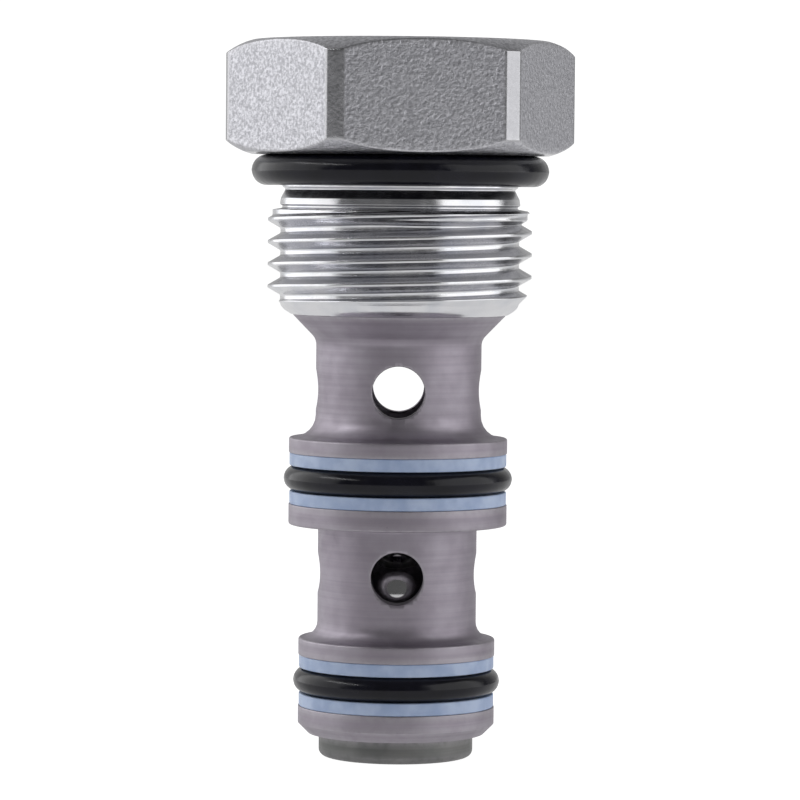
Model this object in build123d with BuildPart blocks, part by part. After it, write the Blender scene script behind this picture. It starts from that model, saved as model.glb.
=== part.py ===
from build123d import *
import os

# Three-port ball shuttle cartridge valve, millimetres.
# The origin is the centre of the nose's flat end, +Z points up through the hexagon head, and the
# cartridge stands on its nose. Depths are measured down from the sealing face, the hexagon's underside.

# Head and thread
OVERALL_DEPTH = 43.0  # sealing face to the end of the nose
HEX_FLATS = 22.2  # 7/8 in spanner size
HEX_CORNER_DIA = 25.0
HEX_FACE_DIA = 21.2
HEX_HEIGHT = 8.1
HEX_CLOCKING = 8.4  # turn of the flats from the cross holes, degrees
CORNER_CHAMFER = 0.95
CHAMFER_CROWN = 0.12  # the turned chamfers bulge by this much
THREAD_DIA = 18.85  # 3/4-16 UNF
THREAD_PITCH = 25.4 / 16
THREAD_HEIGHT = 0.90
CREST_FLAT = THREAD_PITCH / 8
CREST_DEPTH = 3.85  # a crest on +X at this depth sets the thread's phase
FLANK_SLOPE = 0.577  # tangent of the 30 degree half angle
RELIEF_DIA = 16.8
RELIEF_END = 3.3
SHANK_DEPTH = 11.35
SHANK_END_DIA = 15.5
SPIGOT_DIA = 13.8
SPIGOT_TOP = 5.2
SPIGOT_PLAY = 0.02

# Cage
COLLAR_DIA = 15.3
UPPER_NECK_DIA = 11.82
LOWER_NECK_DIA = 11.36
CONE_END = 13.15
CONE_BLEND = 1.0
UPPER_LAND = (20.15, 26.38)  # depths of the land's two edges
LOWER_LAND = (34.5, 41.33)
UPPER_LAND_DIA = 15.62
LOWER_LAND_DIA = 14.06
UPPER_NECK_FILLET = 1.6
LOWER_NECK_FILLET = 1.15
LAND_EDGE = 0.15
NOSE_CHAMFER = 0.72
UNDERCUT_FILLET = 0.3
UPPER_PORT_DEPTH = 16.7
LOWER_PORT_DEPTH = 29.83
FRONT_PORT_DIA = 3.7
SIDE_PORT_DIA = 2.8
CHAMBER_DIA = 8.4
BALL_BORE_DIA = 7.2

# Seals
HEAD_RING_SECTION = 2.2
LAND_RING_SECTION = 1.78
SEAL_PLAY = 0.01
GROOVE_WIDTH = 3.66
UPPER_GROOVE_MIDDLE = 23.07
LOWER_GROOVE_MIDDLE = 37.55
UPPER_RING_DIA = 16.35
LOWER_RING_DIA = 14.78
BACKUP_THICKNESS = 0.92
BACKUP_UNDERSIZE = 0.1
SCARF_GAP = 0.12
SCARF_ANGLE = 55  # slant of the cut from the axis, degrees

# Seats and ball
BALL_DIA = 6.35
SEAT_BORE_DIA = 4.4
UPPER_SEAT_EDGE = 26.05
UPPER_SEAT_LENGTH = 3.5
NOSE_SEAT_EDGE = 33.6
NOSE_PORT_DIA = 5.2
NOSE_PORT_LENGTH = 3.5
NOSE_PORT_BREAK = 0.3
NOSE_DIA = 11.04
NOSE_ROUND = 0.5
SEAT_GAP = 0.03
BLIND_END_DEPTH = 3.6
DRILL_POINT = 2.4

# Worked out from the driving dimensions
SEAL_FACE = OVERALL_DEPTH
ROOT_RADIUS = THREAD_DIA / 2 - THREAD_HEIGHT
CONTACT_OFFSET = ((BALL_DIA / 2) ** 2 - (SEAT_BORE_DIA / 2) ** 2) ** 0.5
BALL_DEPTH = NOSE_SEAT_EDGE - CONTACT_OFFSET - SEAT_GAP
BALL_TRAVEL = BALL_DEPTH - (UPPER_SEAT_EDGE + CONTACT_OFFSET + SEAT_GAP)
TOLERANCE = 0.001
CLEAR = 1.0  # how far cutting shapes run past the surfaces they cut

os.makedirs("parts", exist_ok=True)


def height(depth):
    """Height above the nose of a point this far below the sealing face."""
    return SEAL_FACE - depth


def outline(points):
    """Closed section on the XZ plane from (radius, depth) pairs."""
    return Polyline([(radius, height(depth)) for radius, depth in points], close=True)


def circles(part, depth, diameter):
    """The circular edges of a part at one depth and of one diameter."""
    level = height(depth)
    rings = part.edges().filter_by(GeomType.CIRCLE)
    rings = rings.filter_by(lambda edge: abs(edge.radius - diameter / 2) < TOLERANCE)
    return rings.filter_by(lambda edge: abs(edge.center().Z - level) < TOLERANCE)


def save(part, name):
    """Labels a finished piece and writes it as a STEP file."""
    part.label = name
    export_step(part, f"parts/{name}.step")


# The thread ridge: one flank-to-flank profile swept up the helix, trimmed by the chamfered ends
BURIED = 0.15  # how far the ridge reaches into the shank's core
RIDGE_START = CREST_DEPTH + 5 * THREAD_PITCH
RIDGE_TURNS = 6
half_crest = CREST_FLAT / 2
half_base = half_crest + (THREAD_HEIGHT + BURIED) * FLANK_SLOPE
base_radius = ROOT_RADIUS - BURIED

with BuildPart() as thread_ridge:
    with BuildLine() as helix:
        Helix(
            pitch=THREAD_PITCH,
            height=RIDGE_TURNS * THREAD_PITCH,
            radius=ROOT_RADIUS,
            center=(0, 0, height(RIDGE_START)),
        )
    with BuildSketch(Plane.XZ):
        with BuildLine():
            Polyline(
                (base_radius, height(RIDGE_START) - half_base),
                (THREAD_DIA / 2, height(RIDGE_START) - half_crest),
                (THREAD_DIA / 2, height(RIDGE_START) + half_crest),
                (base_radius, height(RIDGE_START) + half_base),
                close=True,
            )
        make_face()
    sweep(path=helix.line, is_frenet=True)
    with BuildSketch(Plane.XZ):
        with BuildLine():
            outline([
                (0, RELIEF_END),
                (ROOT_RADIUS, RELIEF_END),
                (THREAD_DIA / 2 + CLEAR, RELIEF_END + THREAD_HEIGHT + CLEAR),
                (THREAD_DIA / 2 + CLEAR, SHANK_DEPTH - (THREAD_DIA - SHANK_END_DIA) / 2 - CLEAR),
                (SHANK_END_DIA / 2, SHANK_DEPTH),
                (0, SHANK_DEPTH),
            ])
        make_face()
    revolve(axis=Axis.Z, mode=Mode.INTERSECT)

# The depths at the hexagon's face and at its corners, of the lower and the upper chamfer
CHAMFERS = ((0, -CORNER_CHAMFER), (-HEX_HEIGHT, CORNER_CHAMFER - HEX_HEIGHT))

# Head adapter: hexagon, relief, threaded shank and the blind bore that takes the cage
with BuildPart() as head_adapter:
    with BuildSketch(Plane.XY.offset(SEAL_FACE)):
        RegularPolygon(HEX_FLATS / 2, 6, major_radius=False, rotation=HEX_CLOCKING)
    extrude(amount=HEX_HEIGHT)
    with BuildSketch(Plane.XZ):
        with BuildLine():
            Polyline(
                (HEX_FACE_DIA / 2, height(0)),
                (0, height(0)),
                (0, height(-HEX_HEIGHT)),
                (HEX_FACE_DIA / 2, height(-HEX_HEIGHT)),
            )
            Line(
                (HEX_CORNER_DIA / 2, height(-CORNER_CHAMFER)),
                (HEX_CORNER_DIA / 2, height(CORNER_CHAMFER - HEX_HEIGHT)),
            )
            for face_depth, corner_depth in CHAMFERS:
                SagittaArc(
                    (HEX_FACE_DIA / 2, height(face_depth)),
                    (HEX_CORNER_DIA / 2, height(corner_depth)),
                    CHAMFER_CROWN if face_depth else -CHAMFER_CROWN,
                )
        make_face()
    revolve(axis=Axis.Z, mode=Mode.INTERSECT)
    with BuildSketch(Plane.XZ):
        with BuildLine():
            outline([
                (0, 0),
                (RELIEF_DIA / 2, 0),
                (RELIEF_DIA / 2, RELIEF_END),
                (ROOT_RADIUS, RELIEF_END),
                (ROOT_RADIUS, SHANK_DEPTH - (ROOT_RADIUS - SHANK_END_DIA / 2)),
                (SHANK_END_DIA / 2, SHANK_DEPTH),
                (0, SHANK_DEPTH),
            ])
        make_face()
    revolve(axis=Axis.Z)
    add(thread_ridge.part)
    with BuildSketch(Plane.XZ):
        with BuildLine():
            outline([
                (0, SHANK_DEPTH),
                (SPIGOT_DIA / 2, SHANK_DEPTH),
                (SPIGOT_DIA / 2, SPIGOT_TOP),
                (CHAMBER_DIA / 2, SPIGOT_TOP),
                (CHAMBER_DIA / 2, BLIND_END_DEPTH),
                (0, BLIND_END_DEPTH - DRILL_POINT),
            ])
        make_face()
    revolve(axis=Axis.Z, mode=Mode.SUBTRACT)
save(head_adapter.part, "head_adapter")


def groove(middle):
    """The two depths of a seal groove's side walls."""
    return middle - GROOVE_WIDTH / 2, middle + GROOVE_WIDTH / 2


def groove_floor(ring_diameter):
    """Diameter of a groove's floor, from the outside diameter of the O-ring that sits in it."""
    return ring_diameter - 2 * LAND_RING_SECTION - 2 * SEAL_PLAY


# Cage: one turned body, bored from both ends and cross drilled at two levels
upper_top, upper_bottom = groove(UPPER_GROOVE_MIDDLE)
lower_top, lower_bottom = groove(LOWER_GROOVE_MIDDLE)
upper_floor = groove_floor(UPPER_RING_DIA)
lower_floor = groove_floor(LOWER_RING_DIA)
spigot_radius = SPIGOT_DIA / 2 - SPIGOT_PLAY

with BuildPart() as cage:
    with BuildSketch(Plane.XZ):
        with BuildLine():
            outline([
                (CHAMBER_DIA / 2, SPIGOT_TOP + SPIGOT_PLAY),
                (spigot_radius, SPIGOT_TOP + SPIGOT_PLAY),
                (spigot_radius, SHANK_DEPTH),
                (COLLAR_DIA / 2, SHANK_DEPTH),
                (UPPER_NECK_DIA / 2, CONE_END),
                (UPPER_NECK_DIA / 2, UPPER_LAND[0]),
                (UPPER_LAND_DIA / 2, UPPER_LAND[0]),
                (UPPER_LAND_DIA / 2, upper_top),
                (upper_floor / 2, upper_top),
                (upper_floor / 2, upper_bottom),
                (UPPER_LAND_DIA / 2, upper_bottom),
                (UPPER_LAND_DIA / 2, UPPER_LAND[1]),
                (LOWER_NECK_DIA / 2, UPPER_LAND[1]),
                (LOWER_NECK_DIA / 2, LOWER_LAND[0]),
                (LOWER_LAND_DIA / 2, LOWER_LAND[0]),
                (LOWER_LAND_DIA / 2, lower_top),
                (lower_floor / 2, lower_top),
                (lower_floor / 2, lower_bottom),
                (LOWER_LAND_DIA / 2, lower_bottom),
                (LOWER_LAND_DIA / 2, LOWER_LAND[1]),
                (CHAMBER_DIA / 2, LOWER_LAND[1]),
                (CHAMBER_DIA / 2, NOSE_SEAT_EDGE),
                (BALL_BORE_DIA / 2, NOSE_SEAT_EDGE),
                (BALL_BORE_DIA / 2, UPPER_SEAT_EDGE),
                (CHAMBER_DIA / 2, UPPER_SEAT_EDGE),
            ])
        make_face()
    revolve(axis=Axis.Z)
    fillet(circles(cage.part, CONE_END, UPPER_NECK_DIA), CONE_BLEND)
    fillet(circles(cage.part, UPPER_LAND[0], UPPER_NECK_DIA), UPPER_NECK_FILLET)
    fillet(circles(cage.part, LOWER_LAND[0], LOWER_NECK_DIA), LOWER_NECK_FILLET)
    fillet(circles(cage.part, UPPER_LAND[1], LOWER_NECK_DIA), UNDERCUT_FILLET)
    chamfer(circles(cage.part, UPPER_LAND[0], UPPER_LAND_DIA), LAND_EDGE)
    chamfer(circles(cage.part, UPPER_LAND[1], UPPER_LAND_DIA), LAND_EDGE)
    chamfer(circles(cage.part, LOWER_LAND[0], LOWER_LAND_DIA), LAND_EDGE)
    chamfer(circles(cage.part, LOWER_LAND[1], LOWER_LAND_DIA), NOSE_CHAMFER)
    for depth in (UPPER_PORT_DEPTH, LOWER_PORT_DEPTH):
        with BuildSketch(Plane.XZ):
            with Locations((0, height(depth))):
                Circle(FRONT_PORT_DIA / 2)
        extrude(amount=COLLAR_DIA, both=True, mode=Mode.SUBTRACT)
        with BuildSketch(Plane.YZ):
            with Locations((0, height(depth))):
                Circle(SIDE_PORT_DIA / 2)
        extrude(amount=COLLAR_DIA, both=True, mode=Mode.SUBTRACT)
save(cage.part, "cage")


def ring_section(outer_diameter, section, depth):
    """Round section of an O-ring, on the XZ plane."""
    with Locations(((outer_diameter - section) / 2, height(depth))):
        return Circle(section / 2)


# O-rings: the head ring lies in the relief under the hexagon, the others in the land grooves
with BuildPart() as head_o_ring:
    with BuildSketch(Plane.XZ):
        head_ring_dia = RELIEF_DIA + 2 * HEAD_RING_SECTION + 2 * SEAL_PLAY
        ring_section(head_ring_dia, HEAD_RING_SECTION, HEAD_RING_SECTION / 2 + SEAL_PLAY)
    revolve(axis=Axis.Z)
save(head_o_ring.part, "head_o_ring")

with BuildPart() as upper_o_ring:
    with BuildSketch(Plane.XZ):
        ring_section(UPPER_RING_DIA, LAND_RING_SECTION, UPPER_GROOVE_MIDDLE)
    revolve(axis=Axis.Z)
save(upper_o_ring.part, "upper_o_ring")

with BuildPart() as lower_o_ring:
    with BuildSketch(Plane.XZ):
        ring_section(LOWER_RING_DIA, LAND_RING_SECTION, LOWER_GROOVE_MIDDLE)
    revolve(axis=Axis.Z)
save(lower_o_ring.part, "lower_o_ring")

# Backup rings: flat rings with a slanted scarf cut, one each side of each land O-ring
SCARF_REACH = 6 * BACKUP_THICKNESS
BACKUPS = {
    "upper_backup_ring_top": (upper_top, UPPER_LAND_DIA, upper_floor),
    "upper_backup_ring_bottom": (upper_bottom - BACKUP_THICKNESS, UPPER_LAND_DIA, upper_floor),
    "lower_backup_ring_top": (lower_top, LOWER_LAND_DIA, lower_floor),
    "lower_backup_ring_bottom": (lower_bottom - BACKUP_THICKNESS, LOWER_LAND_DIA, lower_floor),
}

for backup_name, (top_depth, land_diameter, floor_diameter) in BACKUPS.items():
    middle_height = height(top_depth + BACKUP_THICKNESS / 2)
    wall_middle = (land_diameter + floor_diameter) / 4
    with BuildPart() as backup_ring:
        with BuildSketch(Plane.XY.offset(middle_height)):
            Circle(land_diameter / 2 - BACKUP_UNDERSIZE / 2)
            Circle(floor_diameter / 2 + SEAL_PLAY, mode=Mode.SUBTRACT)
        extrude(amount=BACKUP_THICKNESS / 2, both=True)
        with Locations(Location((0, wall_middle, middle_height), (0, SCARF_ANGLE, 0))):
            Box(SCARF_GAP, land_diameter - floor_diameter, SCARF_REACH, mode=Mode.SUBTRACT)
    save(backup_ring.part, backup_name)

# Seats: both are pressed into counterbores and give the ball a sharp round edge to close on
with BuildPart() as upper_seat:
    with BuildSketch(Plane.XY.offset(height(UPPER_SEAT_EDGE))):
        Circle(CHAMBER_DIA / 2)
        Circle(SEAT_BORE_DIA / 2, mode=Mode.SUBTRACT)
    extrude(amount=UPPER_SEAT_LENGTH)
    top_bore = circles(upper_seat.part, UPPER_SEAT_EDGE - UPPER_SEAT_LENGTH, SEAT_BORE_DIA)
    chamfer(top_bore, NOSE_PORT_BREAK)
save(upper_seat.part, "upper_seat")

with BuildPart() as nose_seat:
    with BuildSketch(Plane.XZ):
        with BuildLine():
            outline([
                (SEAT_BORE_DIA / 2, NOSE_SEAT_EDGE),
                (CHAMBER_DIA / 2, NOSE_SEAT_EDGE),
                (CHAMBER_DIA / 2, LOWER_LAND[1]),
                (NOSE_DIA / 2, LOWER_LAND[1]),
                (NOSE_DIA / 2, OVERALL_DEPTH),
                (NOSE_PORT_DIA / 2, OVERALL_DEPTH),
                (NOSE_PORT_DIA / 2, OVERALL_DEPTH - NOSE_PORT_LENGTH),
                (SEAT_BORE_DIA / 2, OVERALL_DEPTH - NOSE_PORT_LENGTH),
            ])
        make_face()
    revolve(axis=Axis.Z)
    fillet(circles(nose_seat.part, OVERALL_DEPTH, NOSE_DIA), NOSE_ROUND)
    chamfer(circles(nose_seat.part, OVERALL_DEPTH, NOSE_PORT_DIA), NOSE_PORT_BREAK)
save(nose_seat.part, "nose_seat")

# The ball rests on the nose seat and travels up to the upper seat
with BuildPart() as ball:
    with Locations((0, 0, height(BALL_DEPTH))):
        Sphere(BALL_DIA / 2)
save(ball.part, "ball")

print(f"ball centre {height(BALL_DEPTH):.3f} mm, travel {BALL_TRAVEL:.3f} mm")
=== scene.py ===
"""Looks of the ball shuttle cartridge valve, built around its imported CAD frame."""
import math

import bmesh
import bpy
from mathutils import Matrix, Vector, noise


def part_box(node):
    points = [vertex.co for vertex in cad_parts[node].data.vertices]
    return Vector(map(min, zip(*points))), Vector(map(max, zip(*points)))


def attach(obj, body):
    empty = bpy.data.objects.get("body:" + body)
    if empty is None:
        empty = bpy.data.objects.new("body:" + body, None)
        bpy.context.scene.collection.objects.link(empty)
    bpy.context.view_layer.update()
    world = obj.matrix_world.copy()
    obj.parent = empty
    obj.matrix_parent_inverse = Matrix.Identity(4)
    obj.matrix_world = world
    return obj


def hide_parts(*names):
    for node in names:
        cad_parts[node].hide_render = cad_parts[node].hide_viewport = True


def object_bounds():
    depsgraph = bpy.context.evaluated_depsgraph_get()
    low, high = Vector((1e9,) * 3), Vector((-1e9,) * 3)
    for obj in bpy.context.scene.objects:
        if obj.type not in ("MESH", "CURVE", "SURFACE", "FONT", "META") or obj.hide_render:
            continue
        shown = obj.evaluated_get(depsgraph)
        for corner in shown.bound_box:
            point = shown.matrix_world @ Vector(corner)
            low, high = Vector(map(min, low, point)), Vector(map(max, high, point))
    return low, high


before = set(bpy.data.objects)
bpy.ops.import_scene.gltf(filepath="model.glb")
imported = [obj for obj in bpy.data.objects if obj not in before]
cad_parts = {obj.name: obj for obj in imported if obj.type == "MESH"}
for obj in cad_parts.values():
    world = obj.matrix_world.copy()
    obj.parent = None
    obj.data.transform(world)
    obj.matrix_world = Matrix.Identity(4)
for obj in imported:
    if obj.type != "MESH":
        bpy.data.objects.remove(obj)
cad_low, cad_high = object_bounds()

MM = 0.001
TURN = 2 * math.pi

# Sizes of the design in millimetres. Depths are measured down from the sealing face, the
# underside of the hexagon, as in the CAD.
HEX_FLATS = 22.2
HEX_CORNER_DIA = 25.0
HEX_FACE_DIA = 21.2
HEX_HEIGHT = 8.1
HEX_CLOCKING = math.radians(8.4)
CORNER_CHAMFER = 0.95
CHAMFER_CROWN = 0.12
THREAD_DIA = 18.85
THREAD_PITCH = 25.4 / 16
THREAD_HEIGHT = 0.90
CREST_DEPTH = 3.85
FLANK_SLOPE = 0.577
CREST_ROUND = 0.06
ROOT_ROUND = 0.12
RELIEF_DIA = 16.8
RELIEF_END = 3.3
RELIEF_GROOVE = 0.22
RELIEF_RIDGE = 0.18
THREAD_START = 3.92
RUNOUT_DIA = 18.2
RUNOUT_END = 4.6
RUNOUT_LEAD = 1.5
SHANK_DEPTH = 11.35
SHANK_END_DIA = 15.5
SHANK_END_CROWN = 0.9
SPIGOT_DIA = 13.8
SPIGOT_TOP = 5.2
SPIGOT_PLAY = 0.02
BLIND_END_DEPTH = 3.6
DRILL_POINT = 2.4
COLLAR_DIA = 15.3
UPPER_NECK_DIA = 11.82
LOWER_NECK_DIA = 11.36
CONE_END = 13.15
CONE_BLEND = 1.0
UPPER_LAND = (20.15, 26.38)
LOWER_LAND = (34.5, 41.33)
UPPER_LAND_DIA = 15.62
LOWER_LAND_DIA = 14.06
UPPER_NECK_FILLET = 1.6
LOWER_NECK_FILLET = 1.15
UNDERCUT_FILLET = 0.3
NOSE_CHAMFER = 0.72
UPPER_PORT_DEPTH = 16.7
LOWER_PORT_DEPTH = 29.83
FRONT_PORT_DIA = 3.7
SIDE_PORT_DIA = 2.8
PORT_EDGE = 0.07
CHAMBER_DIA = 8.4
BALL_BORE_DIA = 7.2
HEAD_RING_SECTION = 2.2
LAND_RING_SECTION = 1.78
SEAL_PLAY = 0.01
PARTING_LINE = 0.012
RING_RIPPLE = 0.006
RING_SHRINK = 0.008
GROOVE_WIDTH = 3.66
UPPER_GROOVE_MIDDLE = 23.07
LOWER_GROOVE_MIDDLE = 37.55
UPPER_RING_DIA = 16.35
LOWER_RING_DIA = 14.78
BACKUP_THICKNESS = 0.92
BACKUP_UNDERSIZE = 0.1
SCARF_GAP = 0.12
SCARF_ANGLE = math.radians(55)
SCARF_HEADING = math.pi / 2
SEAT_BORE_DIA = 4.4
UPPER_SEAT_EDGE = 26.05
UPPER_SEAT_LENGTH = 3.5
NOSE_SEAT_EDGE = 33.6
OVERALL_DEPTH = 43.0
NOSE_DIA = 11.04
NOSE_ROUND = 0.5
NOSE_PORT_DIA = 5.2
NOSE_PORT_LENGTH = 3.5
NOSE_PORT_BREAK = 0.3

SEAL_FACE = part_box("head_adapter")[1].z / MM - HEX_HEIGHT
ROOT_RADIUS = THREAD_DIA / 2 - THREAD_HEIGHT


def height(depth):
    """Height above the nose of a point this far below the sealing face, in millimetres."""
    return SEAL_FACE - depth


# --- Mesh tools -----------------------------------------------------------------------------

def arc_corner(before, corner, after, radius, steps):
    """Points of a fillet of this radius at the corner between two straight runs.

    The fillet takes no more than a share of the shorter run, and a run that goes on almost
    straight gets none.
    """
    share, straight = 0.9, 0.02
    to_before = (before - corner).normalized()
    to_after = (after - corner).normalized()
    bend = math.pi - to_before.angle(to_after)
    if radius <= 0 or bend < straight:
        return [corner] * (steps + 1 if radius > 0 else 1)
    room = share * min((before - corner).length, (after - corner).length)
    setback = min(radius * math.tan(bend / 2), room)
    radius = setback / math.tan(bend / 2)
    middle = corner + (to_before + to_after).normalized() * (radius / math.cos(bend / 2))
    start = corner + to_before * setback - middle
    end = corner + to_after * setback - middle
    first = math.atan2(start.y, start.x)
    sweep = (math.atan2(end.y, end.x) - first + math.pi) % TURN - math.pi
    points = []
    for step in range(steps + 1):
        angle = first + sweep * step / steps
        points.append(middle + Vector((math.cos(angle), math.sin(angle))) * radius)
    return points


def section_points(corners, runs, steps=4, closed=True):
    """(radius, depth) points along a section from (radius, depth, fillet) corners.

    runs holds, for each corner, how many equal steps the straight run after it takes.
    """
    spots = [Vector((radius, depth)) for radius, depth, _ in corners]
    groups = []
    for index, (_, _, fillet) in enumerate(corners):
        if not closed and index in (0, len(corners) - 1):
            groups.append([spots[index]])
            continue
        before, after = spots[index - 1], spots[(index + 1) % len(spots)]
        groups.append(arc_corner(before, spots[index], after, fillet, steps))
    points = []
    for index, group in enumerate(groups):
        points += group
        if index == len(groups) - 1 and not closed:
            break
        start = group[-1]
        end = groups[(index + 1) % len(groups)][0]
        points += [start.lerp(end, step / runs[index]) for step in range(1, runs[index])]
    return points


def run_counts(corners, longest):
    """Steps that keep each straight run of a section below a length."""
    counts = []
    for index, corner in enumerate(corners):
        after = corners[(index + 1) % len(corners)]
        length = math.hypot(after[0] - corner[0], after[1] - corner[1])
        counts.append(max(1, math.ceil(length / longest)))
    return counts


def vertex_at(mesh, spot, angle):
    """A vertex at this (radius, depth) spot and this angle round the axis."""
    place = (spot.x * math.cos(angle), spot.x * math.sin(angle), height(spot.y))
    return mesh.verts.new(Vector(place) * MM)


def ring_of(mesh, spots, angles):
    """One ring of vertices round the axis from one (radius, depth) spot for each angle."""
    return [vertex_at(mesh, spot, angle) for spot, angle in zip(spots, angles)]


def bridge(mesh, first, second):
    """Faces between two rings with the same number of vertices."""
    for index in range(len(first)):
        other = (index + 1) % len(first)
        mesh.faces.new((first[index], first[other], second[other], second[index]))


def finish_mesh(name, mesh):
    """Turns a bmesh into a smooth-shaded object with outward normals."""
    bmesh.ops.remove_doubles(mesh, verts=mesh.verts, dist=0.0000005)
    bmesh.ops.recalc_face_normals(mesh, faces=mesh.faces)
    data = bpy.data.meshes.new(name)
    mesh.to_mesh(data)
    mesh.free()
    data.shade_smooth()
    piece = bpy.data.objects.new(name, data)
    bpy.context.scene.collection.objects.link(piece)
    return piece


def even_angles(columns):
    """This many equal steps round the axis."""
    return [TURN * index / columns for index in range(columns)]


def turned(name, corners, columns=240, longest=0.4, steps=4):
    """A lathe-turned piece from the corners of its closed section."""
    mesh = bmesh.new()
    angles = even_angles(columns)
    spots = section_points(corners, run_counts(corners, longest), steps)
    rings = [ring_of(mesh, [spot] * columns, angles) for spot in spots]
    for first, second in zip(rings, rings[1:] + rings[:1]):
        bridge(mesh, first, second)
    return finish_mesh(name, mesh)


def add_wear(piece, tightest=0.25, spread=2):
    """Stores how sharply the surface bulges at each vertex, for the wear along its edges.

    A bulge of radius tightest, in millimetres, or less counts as fully worn. The wear then
    spreads this many vertices further, and fades as it goes.
    """
    fade = 0.55
    mesh = bmesh.new()
    mesh.from_mesh(piece.data)
    mesh.normal_update()
    amounts = []
    for vert in mesh.verts:
        bends = [0.0]
        for edge in vert.link_edges:
            step = vert.co - edge.other_vert(vert).co
            bends.append(2 * vert.normal.dot(step) / max(step.length_squared, 1e-14))
        amounts.append(min(1.0, max(0.0, max(bends) * tightest * MM)))
    for _ in range(spread):
        spread_out = list(amounts)
        for vert in mesh.verts:
            around = [amounts[edge.other_vert(vert).index] for edge in vert.link_edges]
            spread_out[vert.index] = max(amounts[vert.index], fade * max(around, default=0))
        amounts = spread_out
    mesh.free()
    layer = piece.data.attributes.new("wear", "FLOAT", "POINT")
    layer.data.foreach_set("value", amounts)


# --- Head adapter ---------------------------------------------------------------------------

def soft_min(first, second, blend):
    """The smaller of two values, with the change-over rounded off."""
    share = max(0.0, 1 - abs(first - second) / blend)
    return min(first, second) - share * share * blend / 4


def hexagon_radius(angle):
    """Radius of the hexagon with its corners turned down to a round."""
    sector = TURN / 6
    corner_blend = 0.05
    off = (angle + math.pi / 2 - HEX_CLOCKING + sector / 2) % sector - sector / 2
    return soft_min(HEX_FLATS / 2 / math.cos(off), HEX_CORNER_DIA / 2, corner_blend)


def chamfer_fall(radius):
    """How far the crowned chamfer has fallen away from the hexagon's face at this radius."""
    share = (2 * radius - HEX_FACE_DIA) / (HEX_CORNER_DIA - HEX_FACE_DIA)
    return share * CORNER_CHAMFER - 4 * CHAMFER_CROWN * share * (1 - share)


def head_section(radius):
    """Section of the hexagon at an angle where its side stands at this radius."""
    face = HEX_FACE_DIA / 2
    side_round = 0.16
    slope = [face + (radius - face) * step / 4 for step in range(1, 4)]
    corners = [(0, -HEX_HEIGHT, 0), (face, -HEX_HEIGHT, 0.12)]
    corners += [(spot, chamfer_fall(spot) - HEX_HEIGHT, 0) for spot in slope]
    corners += [(radius, chamfer_fall(radius) - HEX_HEIGHT, side_round)]
    corners += [(radius, -chamfer_fall(radius), side_round)]
    corners += [(spot, -chamfer_fall(spot), 0) for spot in reversed(slope)]
    corners += [(face, 0, 0.08), (RELIEF_DIA / 2, 0, 0)]
    chamfer_runs = [1, 1, 1, 1]
    runs = [30, *chamfer_runs, 36, *chamfer_runs, 5]
    return section_points(corners, runs, closed=False)


def head_angles():
    """Angles round the head, closer together along the hexagon's corners.

    The offsets are in degrees from the middle of a flat, up to the start of the next flat.
    """
    flat_end = 25.5
    flat_steps, corner_steps = 40, 36
    corner = 60 - 2 * flat_end
    offsets = [flat_end * (2 * step / flat_steps - 1) for step in range(flat_steps)]
    offsets += [flat_end + corner * step / corner_steps for step in range(corner_steps)]
    start = math.degrees(HEX_CLOCKING) - 90
    return [math.radians(start + 60 * side + offset) for side in range(6) for offset in offsets]


def thread_profile():
    """(radius, step down) points over one pitch of the thread, from crest to crest."""
    crest = THREAD_PITCH / 16
    flank = THREAD_HEIGHT * FLANK_SLOPE
    top = THREAD_DIA / 2
    corners = [
        (top, 0, 0),
        (top, crest, CREST_ROUND),
        (ROOT_RADIUS, crest + flank, ROOT_ROUND),
        (ROOT_RADIUS, THREAD_PITCH - crest - flank, ROOT_ROUND),
        (top, THREAD_PITCH - crest, CREST_ROUND),
        (top, THREAD_PITCH, 0),
    ]
    return section_points(corners, [1, 6, 2, 6, 1], steps=3, closed=False)[:-1]


def thread_spot(point, turn, angle):
    """Where a point of the thread's profile lies at this angle, between the thread's two ends."""
    share = (angle % TURN) / TURN
    depth = CREST_DEPTH + (turn - share) * THREAD_PITCH + point.y
    depth = min(max(depth, THREAD_START), SHANK_DEPTH)
    # the first turn runs out into a plain band below the relief
    runout = RUNOUT_DIA / 2 - max(0.0, depth - RUNOUT_END) / FLANK_SLOPE
    entry = RUNOUT_DIA / 2 + RUNOUT_LEAD * (depth - THREAD_START)
    # the last turn is cut off by a crowned chamfer
    left = SHANK_DEPTH - depth
    chamfer = ROOT_RADIUS - SHANK_END_DIA / 2
    crown = SHANK_END_CROWN * left * max(0.0, 1 - left / chamfer)
    end = SHANK_END_DIA / 2 + left + crown
    return Vector((min(max(point.x, runout), entry, end), depth))


def thread_rings(mesh, angles):
    """The thread's rings, which climb with the helix, and the faces between them."""
    profile = thread_profile()
    rings = []
    for turn in range(-1, 6):
        for point in profile:
            spots = [thread_spot(point, turn, angle) for angle in angles]
            rings.append(ring_of(mesh, spots, angles))
    seam = min(range(len(angles)), key=lambda index: angles[index] % TURN)
    count = len(angles)
    for index in range(len(rings) - 1):
        for column in range(count):
            other = (column + 1) % count
            # past the seam a ring meets the ring that started one turn higher
            shift = len(profile) if other == seam else 0
            near = rings[index][column], rings[index + 1][column]
            far = rings[max(index - shift, 0)][other], rings[max(index + 1 - shift, 0)][other]
            corners = (near[0], far[0], far[1], near[1])
            mesh.faces.new(list(dict.fromkeys(corners)))
    return rings


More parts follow.
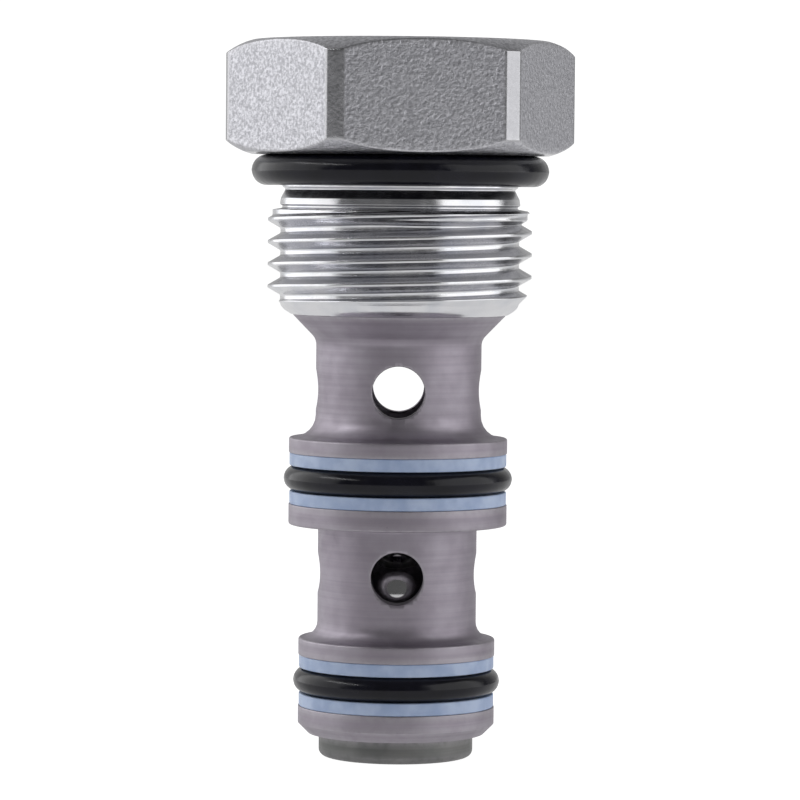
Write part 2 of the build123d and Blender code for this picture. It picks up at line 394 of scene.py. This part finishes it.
def relief_corners():
    """Outside corners under the head: the O-ring's seat, a groove, a ridge and the run-out."""
    wall = RELIEF_DIA / 2
    groove_top = HEAD_RING_SECTION + 0.10
    return [
        (wall, 0, 0),
        (wall, groove_top, 0.05),
        (wall - RELIEF_GROOVE, groove_top + 0.15, 0.1),
        (wall + 0.12, RELIEF_END - 0.18, 0.1),
        (wall + RELIEF_RIDGE, RELIEF_END + 0.25, 0.05),
        (wall, RELIEF_END + 0.35, 0.05),
        (wall, THREAD_START - 0.12, 0.1),
        (RUNOUT_DIA / 2, THREAD_START, 0),
    ]


def bore_corners():
    """Corners of the bore that takes the cage, up to the drill point at its blind end."""
    return [
        (SHANK_END_DIA / 2, SHANK_DEPTH, 0),
        (SPIGOT_DIA / 2, SHANK_DEPTH, 0.1),
        (SPIGOT_DIA / 2, SPIGOT_TOP, 0),
        (CHAMBER_DIA / 2, SPIGOT_TOP, 0),
        (CHAMBER_DIA / 2, BLIND_END_DEPTH, 0),
        (0, BLIND_END_DEPTH - DRILL_POINT, 0),
    ]


def add_head():
    """Hexagon, relief, rolled thread and the bore that takes the cage, as one closed surface."""
    mesh = bmesh.new()
    angles = head_angles()
    sections = [head_section(hexagon_radius(angle)) for angle in angles]
    outside = [ring_of(mesh, spots, angles) for spots in zip(*sections)]
    for spot in section_points(relief_corners(), [10, 1, 4, 4, 1, 1, 2], closed=False)[1:-1]:
        outside.append(ring_of(mesh, [spot] * len(angles), angles))
    helix = thread_rings(mesh, angles)
    outside.append(helix[0])
    inside = [helix[-1]]
    for spot in section_points(bore_corners(), [2, 8, 3, 3, 6], closed=False)[1:]:
        inside.append(ring_of(mesh, [spot] * len(angles), angles))
    for rings in (outside, inside):
        for first, second in zip(rings, rings[1:]):
            bridge(mesh, first, second)
    piece = finish_mesh("hexagon_head_and_thread", mesh)
    add_wear(piece, tightest=0.15)
    return piece


# --- Cage -----------------------------------------------------------------------------------

def groove(middle):
    """The two depths of a seal groove's side walls."""
    return middle - GROOVE_WIDTH / 2, middle + GROOVE_WIDTH / 2


def groove_floor(ring_diameter):
    """Diameter of a groove's floor, from the outside diameter of the O-ring that sits in it."""
    return ring_diameter - 2 * LAND_RING_SECTION - 2 * SEAL_PLAY


def land_corners(land, diameter, middle, floor, last):
    """Outside corners of a land with its seal groove, ending with the corners in last."""
    top, bottom = groove(middle)
    return [
        (diameter / 2, land[0], 0.15),
        (diameter / 2, top, 0.05),
        (floor / 2, top, 0.12),
        (floor / 2, bottom, 0.12),
        (diameter / 2, bottom, 0.05),
    ] + last


def add_cage():
    """The turned cage with its lands and grooves, cross drilled at two levels."""
    spigot = SPIGOT_DIA / 2 - SPIGOT_PLAY
    upper = land_corners(
        UPPER_LAND, UPPER_LAND_DIA, UPPER_GROOVE_MIDDLE, groove_floor(UPPER_RING_DIA),
        [(UPPER_LAND_DIA / 2, UPPER_LAND[1], 0.15)],
    )
    lower = land_corners(
        LOWER_LAND, LOWER_LAND_DIA, LOWER_GROOVE_MIDDLE, groove_floor(LOWER_RING_DIA),
        [
            (LOWER_LAND_DIA / 2, LOWER_LAND[1] - NOSE_CHAMFER, 0.08),
            (LOWER_LAND_DIA / 2 - NOSE_CHAMFER, LOWER_LAND[1], 0.06),
        ],
    )
    corners = [
        (CHAMBER_DIA / 2, SPIGOT_TOP + SPIGOT_PLAY, 0.1),
        (spigot, SPIGOT_TOP + SPIGOT_PLAY, 0.2),
        (spigot, SHANK_DEPTH, 0),
        (COLLAR_DIA / 2, SHANK_DEPTH, 0.05),
        (UPPER_NECK_DIA / 2, CONE_END, CONE_BLEND),
        (UPPER_NECK_DIA / 2, UPPER_LAND[0], UPPER_NECK_FILLET),
        *upper,
        (LOWER_NECK_DIA / 2, UPPER_LAND[1], UNDERCUT_FILLET),
        (LOWER_NECK_DIA / 2, LOWER_LAND[0], LOWER_NECK_FILLET),
        *lower,
        (CHAMBER_DIA / 2, LOWER_LAND[1], 0),
        (CHAMBER_DIA / 2, NOSE_SEAT_EDGE, 0),
        (BALL_BORE_DIA / 2, NOSE_SEAT_EDGE, 0.05),
        (BALL_BORE_DIA / 2, UPPER_SEAT_EDGE, 0.05),
        (CHAMBER_DIA / 2, UPPER_SEAT_EDGE, 0),
    ]
    piece = turned("ported_cage", corners, columns=360, longest=0.35, steps=6)
    levels = ((UPPER_PORT_DEPTH, UPPER_NECK_DIA), (LOWER_PORT_DEPTH, LOWER_NECK_DIA))
    front, side = math.pi / 2, 0
    for depth, neck in levels:
        cut_port(piece, depth, neck / 2, FRONT_PORT_DIA / 2, front)
        cut_port(piece, depth, neck / 2, SIDE_PORT_DIA / 2, side)
    piece.data.shade_smooth()
    add_wear(piece, tightest=0.12, spread=1)
    return piece


def cut_port(piece, depth, neck, radius, heading):
    """Drills straight through the cage, with a fine even break round both mouths."""
    columns = 96
    wide = radius + 2 * PORT_EDGE
    # (radius, distance from the neck's surface), from one end of the drill to the other
    mouth = [(radius, -PORT_EDGE), (wide, PORT_EDGE), (wide, None)]
    rings = []
    cutter = bmesh.new()
    for side, spots in ((-1, reversed(mouth)), (1, mouth)):
        for width, beyond in spots:
            ring = []
            for angle in even_angles(columns):
                across = width * math.cos(angle)
                along = neck + 1 if beyond is None else math.sqrt(neck ** 2 - across ** 2) + beyond
                x = side * along * math.cos(heading) - across * math.sin(heading)
                y = side * along * math.sin(heading) + across * math.cos(heading)
                z = height(depth) + width * math.sin(angle)
                ring.append(cutter.verts.new(Vector((x, y, z)) * MM))
            rings.append(ring)
    for first, second in zip(rings, rings[1:]):
        bridge(cutter, first, second)
    cutter.faces.new(rings[0])
    cutter.faces.new(rings[-1])
    subtract(piece, finish_mesh("port_cutter", cutter))


def subtract(piece, tool):
    """Cuts the tool's shape out of the piece, and throws the tool away."""
    modifier = piece.modifiers.new("cut", "BOOLEAN")
    modifier.operation = "DIFFERENCE"
    modifier.solver = "EXACT"
    modifier.object = tool
    graph = bpy.context.evaluated_depsgraph_get()
    cut = bpy.data.meshes.new_from_object(piece.evaluated_get(graph))
    piece.modifiers.clear()
    piece.data = cut
    bpy.data.objects.remove(tool)


# --- Seals ----------------------------------------------------------------------------------

def add_o_ring(name, outer_diameter, section, depth):
    """A moulded ring, with the fine parting line that the mould leaves outside and inside."""
    mesh = bmesh.new()
    columns, around = 256, 48
    line_width, ripples = 0.10, 2.3
    angles = even_angles(columns)
    middle = (outer_diameter - section) / 2
    # a little smaller than the CAD ring, to make room for the parting line and the ripple
    plain = section / 2 - RING_SHRINK
    rings = []
    for turn in even_angles(around):
        line = PARTING_LINE * max(0.0, 1 - abs(math.sin(turn)) / line_width)
        spots = []
        for angle in angles:
            place = Vector((math.cos(angle), math.sin(angle), math.sin(turn) + depth))
            reach = plain + line + RING_RIPPLE * noise.noise(place * ripples)
            spots.append(Vector((middle + reach * math.cos(turn), depth + reach * math.sin(turn))))
        rings.append(ring_of(mesh, spots, angles))
    for first, second in zip(rings, rings[1:] + rings[:1]):
        bridge(mesh, first, second)
    return finish_mesh(name, mesh)


def add_backup(name, top_depth, land_diameter, floor_diameter):
    """A flat plastic ring with softened edges and a slanted scarf cut at the back."""
    outer = (land_diameter - BACKUP_UNDERSIZE) / 2
    inner = floor_diameter / 2 + SEAL_PLAY
    middle = top_depth + BACKUP_THICKNESS / 2
    corners = [
        (inner, top_depth, 0.05),
        (outer, top_depth, 0.09),
        (outer, top_depth + BACKUP_THICKNESS, 0.09),
        (inner, top_depth + BACKUP_THICKNESS, 0.05),
    ]
    spots = section_points(corners, [5, 4, 5, 4], steps=4)
    columns = 240
    mesh = bmesh.new()
    rows = []
    for column in range(columns + 1):
        row = []
        for spot in spots:
            slant = (spot.y - middle) * math.tan(SCARF_ANGLE) / spot.x
            gap = SCARF_GAP / math.cos(SCARF_ANGLE) / spot.x
            angle = SCARF_HEADING + slant + gap / 2 + (TURN - gap) * column / columns
            row.append(vertex_at(mesh, spot, angle))
        rows.append(row)
    for first, second in zip(rows, rows[1:]):
        bridge(mesh, first, second)
    mesh.faces.new(rows[0])
    mesh.faces.new(rows[-1])
    return finish_mesh(name, mesh)


# --- Seats and ball -------------------------------------------------------------------------

def add_upper_seat():
    """The upper seat, pressed in flush, with a sharp edge for the ball."""
    top = UPPER_SEAT_EDGE - UPPER_SEAT_LENGTH
    corners = [
        (SEAT_BORE_DIA / 2, UPPER_SEAT_EDGE, 0.02),
        (CHAMBER_DIA / 2, UPPER_SEAT_EDGE, 0.05),
        (CHAMBER_DIA / 2, top, 0.12),
        (SEAT_BORE_DIA / 2 + NOSE_PORT_BREAK, top, 0.04),
        (SEAT_BORE_DIA / 2, top + NOSE_PORT_BREAK, 0.04),
    ]
    piece = turned("upper_ball_seat", corners, columns=200)
    add_wear(piece)
    return piece


def add_nose():
    """The nose seat with its pilot end and open port."""
    shoulder = OVERALL_DEPTH - NOSE_PORT_LENGTH
    corners = [
        (SEAT_BORE_DIA / 2, NOSE_SEAT_EDGE, 0.02),
        (CHAMBER_DIA / 2, NOSE_SEAT_EDGE, 0.05),
        (CHAMBER_DIA / 2, LOWER_LAND[1], 0),
        (NOSE_DIA / 2, LOWER_LAND[1], 0.04),
        (NOSE_DIA / 2, OVERALL_DEPTH, NOSE_ROUND),
        (NOSE_PORT_DIA / 2 + NOSE_PORT_BREAK, OVERALL_DEPTH, 0.04),
        (NOSE_PORT_DIA / 2, OVERALL_DEPTH - NOSE_PORT_BREAK, 0.04),
        (NOSE_PORT_DIA / 2, shoulder, 0.03),
        (SEAT_BORE_DIA / 2, shoulder, 0.03),
    ]
    piece = turned("nose_seat_and_pilot", corners, columns=280, longest=0.3, steps=8)
    add_wear(piece, tightest=0.2)
    return piece


def add_ball():
    """The lapped ball, from a cube whose faces are blown up to the sphere."""
    low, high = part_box("ball")
    centre = (low + high) / 2
    radius = (high.z - low.z) / 2
    mesh = bmesh.new()
    bmesh.ops.create_cube(mesh, size=2)
    bmesh.ops.subdivide_edges(mesh, edges=mesh.edges, cuts=35, use_grid_fill=True)
    for vert in mesh.verts:
        ease = Vector(math.tan(part * math.pi / 4) for part in vert.co)
        vert.co = centre + ease.normalized() * radius
    return finish_mesh("shuttle_ball", mesh)


# --- Materials ------------------------------------------------------------------------------

class Paint:
    """A principled material under construction, with short names for the nodes it needs."""

    def __init__(self, name, metallic):
        self.material = bpy.data.materials.new(name)
        self.material.use_nodes = True
        self.nodes = self.material.node_tree.nodes
        self.links = self.material.node_tree.links
        self.shader = self.nodes["Principled BSDF"]
        self.shader.inputs["Metallic"].default_value = metallic
        self.place = self.node("ShaderNodeTexCoord").outputs["Object"]
        self.normal = None

    def node(self, kind, **values):
        """A new node with these settings."""
        made = self.nodes.new(kind)
        for key, value in values.items():
            setattr(made, key, value)
        return made

    def feed(self, socket, value):
        """Links a socket to an output, or sets it to a plain value."""
        if isinstance(value, bpy.types.NodeSocket):
            self.links.new(value, socket)
        else:
            socket.default_value = value

    def noise(self, size, detail=2, vector=None, roughness=0.5):
        """Noise whose features are this many millimetres across."""
        made = self.node("ShaderNodeTexNoise")
        self.feed(made.inputs["Vector"], vector or self.place)
        made.inputs["Scale"].default_value = 1 / (size * MM)
        made.inputs["Detail"].default_value = detail
        made.inputs["Roughness"].default_value = roughness
        return made.outputs["Fac"]

    def cells(self, size):
        """Distance to the nearest of points scattered this many millimetres apart."""
        made = self.node("ShaderNodeTexVoronoi")
        self.feed(made.inputs["Vector"], self.place)
        made.inputs["Scale"].default_value = 1 / (size * MM)
        return made.outputs["Distance"]

    def stretch(self, along, up):
        """Object coordinates with sideways and upward lengths scaled."""
        made = self.node("ShaderNodeMapping")
        self.feed(made.inputs["Vector"], self.place)
        made.inputs["Scale"].default_value = (along, along, up)
        return made.outputs["Vector"]

    def math(self, operation, first, second=0.0, clamp=False):
        """The result of one operation on two values."""
        made = self.node("ShaderNodeMath", operation=operation, use_clamp=clamp)
        self.feed(made.inputs[0], first)
        self.feed(made.inputs[1], second)
        return made.outputs[0]

    def span(self, value, low, high, to_low=0.0, to_high=1.0):
        """Maps a value's range to another, smoothly, and holds it inside."""
        made = self.node("ShaderNodeMapRange", interpolation_type="SMOOTHSTEP")
        self.feed(made.inputs["Value"], value)
        made.inputs["From Min"].default_value = low
        made.inputs["From Max"].default_value = high
        self.feed(made.inputs["To Min"], to_low)
        self.feed(made.inputs["To Max"], to_high)
        return made.outputs["Result"]

    def mix(self, share, first, second):
        """This share of the second colour over the first. A colour is an output or three numbers."""
        made = self.node("ShaderNodeMix", data_type="RGBA")
        self.feed(made.inputs["Factor"], share)
        for socket, colour in ((made.inputs[6], first), (made.inputs[7], second)):
            plain = not isinstance(colour, bpy.types.NodeSocket)
            self.feed(socket, (*colour, 1) if plain else colour)
        return made.outputs[2]

    def bump(self, level, depth, strength=1.0):
        """Adds relief this many millimetres deep on top of what is there."""
        made = self.node("ShaderNodeBump")
        self.feed(made.inputs["Strength"], strength)
        made.inputs["Distance"].default_value = depth * MM
        self.feed(made.inputs["Height"], level)
        if self.normal:
            self.feed(made.inputs["Normal"], self.normal)
        self.normal = made.outputs["Normal"]

    def wear(self, amount):
        """Share of wear, up to this amount, from the mesh's own bulges, broken up by noise."""
        made = self.node("ShaderNodeAttribute", attribute_name="wear")
        patchy = self.span(self.noise(0.45, 3), 0.25, 0.6, 0.25, amount)
        return self.math("MULTIPLY", made.outputs["Fac"], patchy, clamp=True)

    def axis_distance(self):
        """Distance from the cartridge's axis, and height, both in metres."""
        parts = self.node("ShaderNodeSeparateXYZ")
        self.feed(parts.inputs[0], self.place)
        square = self.math("MULTIPLY", parts.outputs["X"], parts.outputs["X"])
        other = self.math("MULTIPLY", parts.outputs["Y"], parts.outputs["Y"])
        return self.math("SQRT", self.math("ADD", square, other)), parts.outputs["Z"]

    def turning(self, size):
        """Noise drawn out round the axis, as a lathe tool leaves it, with features this size."""
        change_per_metre = 60.0
        away, up = self.axis_distance()
        line = self.node("ShaderNodeCombineXYZ")
        self.feed(line.inputs["X"], self.math("MULTIPLY", away, 1 / (size * MM)))
        self.feed(line.inputs["Y"], self.math("MULTIPLY", up, 1 / (size * MM)))
        parts = self.node("ShaderNodeSeparateXYZ")
        self.feed(parts.inputs[0], self.place)
        made = self.node("ShaderNodeTexNoise", noise_dimensions="4D")
        self.feed(made.inputs["Vector"], line.outputs[0])
        self.feed(made.inputs["W"], self.math("MULTIPLY", parts.outputs["X"], change_per_metre))
        made.inputs["Scale"].default_value = 1
        made.inputs["Detail"].default_value = 2
        return made.outputs["Fac"]

    def done(self, colour, roughness):
        """The finished material, with this colour, roughness and all the relief so far."""
        self.feed(self.shader.inputs["Base Color"], colour)
        self.feed(self.shader.inputs["Roughness"], roughness)
        if self.normal:
            self.feed(self.shader.inputs["Normal"], self.normal)
        return self.material


def thread_zinc(paint):
    """Colour of the thread: clouded zinc, with painted shade darkening it where it faces upwards."""
    cloud = paint.noise(2.6, 4)
    plate = paint.mix(paint.span(cloud, 0.35, 0.65), (0.72, 0.73, 0.77), (0.82, 0.82, 0.84))
    facing = paint.node("ShaderNodeSeparateXYZ")
    paint.feed(facing.inputs[0], paint.node("ShaderNodeNewGeometry").outputs["Normal"])
    # painted shade: the thread is darkened where its surface faces upwards, in place of the dark
    # these flanks mirror
    painted_shade = paint.span(facing.outputs["Z"], 0.15, 0.70, 0.0, 0.8)
    return paint.mix(painted_shade, plate, (0.16, 0.16, 0.18))


def zinc_plate():
    """Zinc plate: bright and rolled on the thread, blasted on the hexagon, plain on its corners."""
    paint = Paint("zinc_plate", 1)
    away, up = paint.axis_distance()
    corner = HEX_CORNER_DIA / 2
    on_head = paint.span(up, (SEAL_FACE + 0.05) * MM, (SEAL_FACE + 0.25) * MM)
    on_thread = paint.math("SUBTRACT", 1.0, on_head, clamp=True)
    off_corner = paint.span(away, (corner - 0.13) * MM, (corner - 0.03) * MM, 1.0, 0.12)
    grain_here = paint.math("MULTIPLY", on_head, off_corner)
    grain = paint.noise(0.24, 2, roughness=0.7)
    paint.bump(paint.span(grain, 0.25, 0.75), 0.020, grain_here)
    paint.bump(paint.span(paint.cells(0.40), 0.05, 0.60), 0.016, grain_here)
    paint.bump(paint.turning(0.10), 0.006, on_thread)
    paint.bump(paint.noise(1.6, 2), 0.010, 0.6)
    speck = paint.mix(paint.span(grain, 0.35, 0.66), (0.41, 0.41, 0.44), (0.64, 0.64, 0.68))
    plate = paint.mix(on_head, thread_zinc(paint), (0.44, 0.44, 0.46))
    colour = paint.mix(grain_here, plate, speck)
    colour = paint.mix(paint.wear(0.2), colour, (0.80, 0.80, 0.81))
    smear = paint.span(paint.noise(0.9, 4), 0.3, 0.7, 0.16, 0.27)
    blasted = paint.span(grain, 0.3, 0.7, 0.46, 0.34)
    rough = paint.node("ShaderNodeMix", data_type="FLOAT")
    paint.feed(rough.inputs["Factor"], grain_here)
    paint.feed(rough.inputs[2], smear)
    paint.feed(rough.inputs[3], blasted)
    return paint.done(colour, rough.outputs[0])


def turned_steel(name, dark, light, rough_low, rough_high, line_depth, stained=False):
    """Satin turned steel: lathe lines, soft clouds, worn edges and, if stained, dark specks."""
    paint = Paint(name, 1)
    lines = paint.turning(0.045)
    bands = paint.turning(0.35)
    paint.bump(lines, line_depth)
    paint.bump(paint.noise(0.11, 2), line_depth * 1.3)
    cloud = paint.noise(3.2, 4)
    colour = paint.mix(paint.span(cloud, 0.3, 0.7), dark, light)
    darker = tuple(part * 0.80 for part in dark)
    colour = paint.mix(paint.span(bands, 0.35, 0.65, 0.0, 0.35), colour, darker)
    if stained:
        specks = paint.span(paint.cells(1.9), 0.045, 0.075, 0.85, 0.0)
        chosen = paint.span(paint.noise(4.0, 1), 0.60, 0.66)
        colour = paint.mix(paint.math("MULTIPLY", specks, chosen), colour, (0.02, 0.018, 0.02))
    colour = paint.mix(paint.wear(0.5), colour, (0.50, 0.48, 0.51))
    patches = paint.math("MULTIPLY", paint.noise(1.1, 4), 0.6)
    mottle = paint.math("ADD", patches, paint.math("MULTIPLY", lines, 0.4))
    return paint.done(colour, paint.span(mottle, 0.3, 0.7, rough_low, rough_high))


def ball_steel():
    """Lapped bearing steel with hair scratches and faint clouds."""
    paint = Paint("ball_steel", 1)
    scratch = paint.noise(0.06, 3, vector=paint.stretch(1.0, 0.12))
    paint.bump(scratch, 0.0006)
    cloud = paint.noise(1.4, 3)
    colour = paint.mix(paint.span(cloud, 0.3, 0.7), (0.60, 0.60, 0.61), (0.70, 0.70, 0.70))
    return paint.done(colour, paint.span(scratch, 0.35, 0.65, 0.05, 0.11))


def nitrile():
    """Black moulded rubber with a thin film of oil, smears and a few light specks of dust."""
    paint = Paint("nitrile", 0)
    paint.bump(paint.noise(0.09, 3), 0.004)
    paint.bump(paint.noise(0.8, 2), 0.012)
    dust = paint.span(paint.cells(2.4), 0.02, 0.035, 1.0, 0.0)
    chosen = paint.span(paint.noise(5.0, 1), 0.62, 0.64)
    cloud = paint.noise(1.8, 4)
    colour = paint.mix(paint.span(cloud, 0.3, 0.7), (0.003, 0.003, 0.006), (0.007, 0.007, 0.013))
    colour = paint.mix(paint.math("MULTIPLY", dust, chosen), colour, (0.45, 0.45, 0.45))
    paint.shader.inputs["Specular IOR Level"].default_value = 0.3
    smear = paint.noise(0.6, 4)
    return paint.done(colour, paint.span(smear, 0.3, 0.7, 0.12, 0.26))


def backup_plastic():
    """Pale blue waxy plastic with faint machining rings."""
    paint = Paint("backup_plastic", 0)
    lines = paint.turning(0.07)
    paint.bump(lines, 0.004)
    cloud = paint.noise(1.5, 4)
    colour = paint.mix(paint.span(cloud, 0.3, 0.7), (0.36, 0.46, 0.68), (0.50, 0.60, 0.80))
    shader = paint.shader.inputs
    shader["Subsurface Weight"].default_value = 0.15
    shader["Subsurface Radius"].default_value = (0.0003, 0.0004, 0.0006)
    return paint.done(colour, paint.span(lines, 0.3, 0.7, 0.38, 0.55))


# --- Studio ---------------------------------------------------------------------------------

# The camera's place in millimetres.
CAMERA_PLACE = (-0.02, -300, height(2.48))
CAMERA_TILT = math.radians(90 - 2.862)
CAMERA_ROLL = math.radians(-0.5)
CAMERA_LENS = 189

# Brightness of the surroundings in front of and behind the cartridge, and the way to their
# brightest side. SEEN is what the camera sees itself, so that the ground stays white.
FRONT_LIGHT = 0.11
BACK_LIGHT = 0.55
BRIGHT_SIDE = (-0.34, 0.94, 0)
WORLD_SEEN = 1.1
FLOOR_GLOW = 0.5
FLOOR_SEEN = 0.93

# The floor's radius and how far it lies below the nose, in metres.
FLOOR_RADIUS = 2.5
FLOOR_DROP = 0.00002


def add_camera():
    """Camera far in front at the height of the thread, looking slightly down."""
    data = bpy.data.cameras.new("camera")
    camera = bpy.data.objects.new("camera", data)
    bpy.context.scene.collection.objects.link(camera)
    camera.location = Vector(CAMERA_PLACE) * MM
    camera.rotation_euler = (CAMERA_TILT, CAMERA_ROLL, 0)
    data.lens = CAMERA_LENS
    data.sensor_width = 36
    data.clip_start = 0.01
    bpy.context.scene.camera = camera


def soft_box(name, place, size, radiance):
    """A soft box of this width and height in metres, facing the cartridge's axis."""
    data = bpy.data.lights.new(name, "AREA")
    data.shape = "RECTANGLE"
    data.size, data.size_y = size
    data.energy = radiance * math.pi * size[0] * size[1]
    light = bpy.data.objects.new(name, data)
    light.location = place
    aim = Vector((0, 0, place[2])) - Vector(place)
    light.rotation_euler = aim.to_track_quat("-Z", "Y").to_euler()
    bpy.context.scene.collection.objects.link(light)


def add_world():
    """Plain white surroundings, lighter behind the cartridge and to its left."""
    world = bpy.data.worlds.new("studio")
    bpy.context.scene.world = world
    world.use_nodes = True
    nodes, links = world.node_tree.nodes, world.node_tree.links
    towards = nodes.new("ShaderNodeVectorMath")
    towards.operation = "DOT_PRODUCT"
    links.new(nodes.new("ShaderNodeTexCoord").outputs["Generated"], towards.inputs[0])
    towards.inputs[1].default_value = BRIGHT_SIDE
    behind = nodes.new("ShaderNodeMapRange")
    behind.interpolation_type = "SMOOTHSTEP"
    behind.inputs["From Min"].default_value = 0.1
    behind.inputs["From Max"].default_value = 0.9
    behind.inputs["To Min"].default_value = FRONT_LIGHT
    behind.inputs["To Max"].default_value = BACK_LIGHT
    links.new(towards.outputs["Value"], behind.inputs["Value"])
    seen = nodes.new("ShaderNodeMix")
    seen.data_type = "FLOAT"
    links.new(nodes.new("ShaderNodeLightPath").outputs["Is Camera Ray"], seen.inputs["Factor"])
    links.new(behind.outputs["Result"], seen.inputs[2])
    seen.inputs[3].default_value = WORLD_SEEN
    links.new(seen.outputs[0], nodes["Background"].inputs["Strength"])
    nodes["Background"].inputs["Color"].default_value = (1, 1, 1, 1)


def add_floor():
    """Plain pale floor under the nose."""
    mesh = bmesh.new()
    bmesh.ops.create_circle(mesh, cap_ends=True, segments=96, radius=FLOOR_RADIUS)
    floor = finish_mesh("floor", mesh)
    floor.location.z = cad_low.z - FLOOR_DROP
    paint = Paint("pale_floor", 0)
    cloud = paint.span(paint.noise(40, 2), 0.3, 0.7)
    colour = paint.mix(cloud, (0.40, 0.40, 0.40), (0.44, 0.44, 0.44))
    paint.shader.inputs["Emission Color"].default_value = (1, 1, 1, 1)
    seen = paint.node("ShaderNodeLightPath").outputs["Is Camera Ray"]
    glow = paint.span(seen, 0, 1, FLOOR_GLOW, FLOOR_SEEN)
    paint.feed(paint.shader.inputs["Emission Strength"], glow)
    floor.data.materials.append(paint.done(colour, 0.8))


def add_studio():
    """Camera, surroundings, floor and three soft lights."""
    add_camera()
    add_world()
    bpy.context.scene.view_settings.view_transform = "Standard"
    add_floor()
    soft_box("left_box", place=(-0.42, 0.10, 0.20), size=(0.72, 0.56), radiance=0.98)
    soft_box("left_strip", place=(-0.40, -0.12, 0.36), size=(0.40, 0.035), radiance=9.0)
    soft_box("right_box", place=(0.40, -0.10, 0.20), size=(0.62, 0.56), radiance=1.15)


# --- Assembly -------------------------------------------------------------------------------

def dress(piece, material, slot, body, *nodes):
    """Gives a piece its material and body, and lets it stand for its CAD nodes. The slot is not
    used.
    """
    piece.data.materials.clear()
    piece.data.materials.append(material)
    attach(piece, body)
    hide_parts(*nodes)


add_studio()
zinc = zinc_plate()
cage_steel = turned_steel(
    "cage_steel", dark=(0.335, 0.302, 0.35), light=(0.40, 0.368, 0.42),
    rough_low=0.42, rough_high=0.58, line_depth=0.0035, stained=True,
)
seat_steel = turned_steel(
    "seat_steel", dark=(0.15, 0.155, 0.15), light=(0.22, 0.22, 0.215),
    rough_low=0.38, rough_high=0.52, line_depth=0.003,
)
ball_metal = ball_steel()
rubber = nitrile()
plastic = backup_plastic()

dress(add_head(), zinc, "zinc_plate", "housing", "head_adapter")
dress(add_cage(), cage_steel, "cage_steel", "housing", "cage")
dress(add_upper_seat(), seat_steel, "seat_steel", "housing", "upper_seat")
dress(add_nose(), seat_steel, "seat_steel", "housing", "nose_seat")
dress(add_ball(), ball_metal, "ball_steel", "ball", "ball")

head_ring = RELIEF_DIA + 2 * HEAD_RING_SECTION + 2 * SEAL_PLAY
o_rings = [
    ("head_seal", head_ring, HEAD_RING_SECTION, HEAD_RING_SECTION / 2 + SEAL_PLAY, "head_o_ring"),
    ("upper_land_seal", UPPER_RING_DIA, LAND_RING_SECTION, UPPER_GROOVE_MIDDLE, "upper_o_ring"),
    ("lower_land_seal", LOWER_RING_DIA, LAND_RING_SECTION, LOWER_GROOVE_MIDDLE, "lower_o_ring"),
]
for name, diameter, section, depth, node in o_rings:
    dress(add_o_ring(name, diameter, section, depth), rubber, "nitrile", "housing", node)

for land, middle, land_dia, ring_dia in (
    ("upper", UPPER_GROOVE_MIDDLE, UPPER_LAND_DIA, UPPER_RING_DIA),
    ("lower", LOWER_GROOVE_MIDDLE, LOWER_LAND_DIA, LOWER_RING_DIA),
):
    top, bottom = groove(middle)
    for side, top_depth in (("top", top), ("bottom", bottom - BACKUP_THICKNESS)):
        piece = add_backup(f"{land}_land_backup_{side}", top_depth, land_dia, groove_floor(ring_dia))
        dress(piece, plastic, "backup_plastic", "housing", f"{land}_backup_ring_{side}")
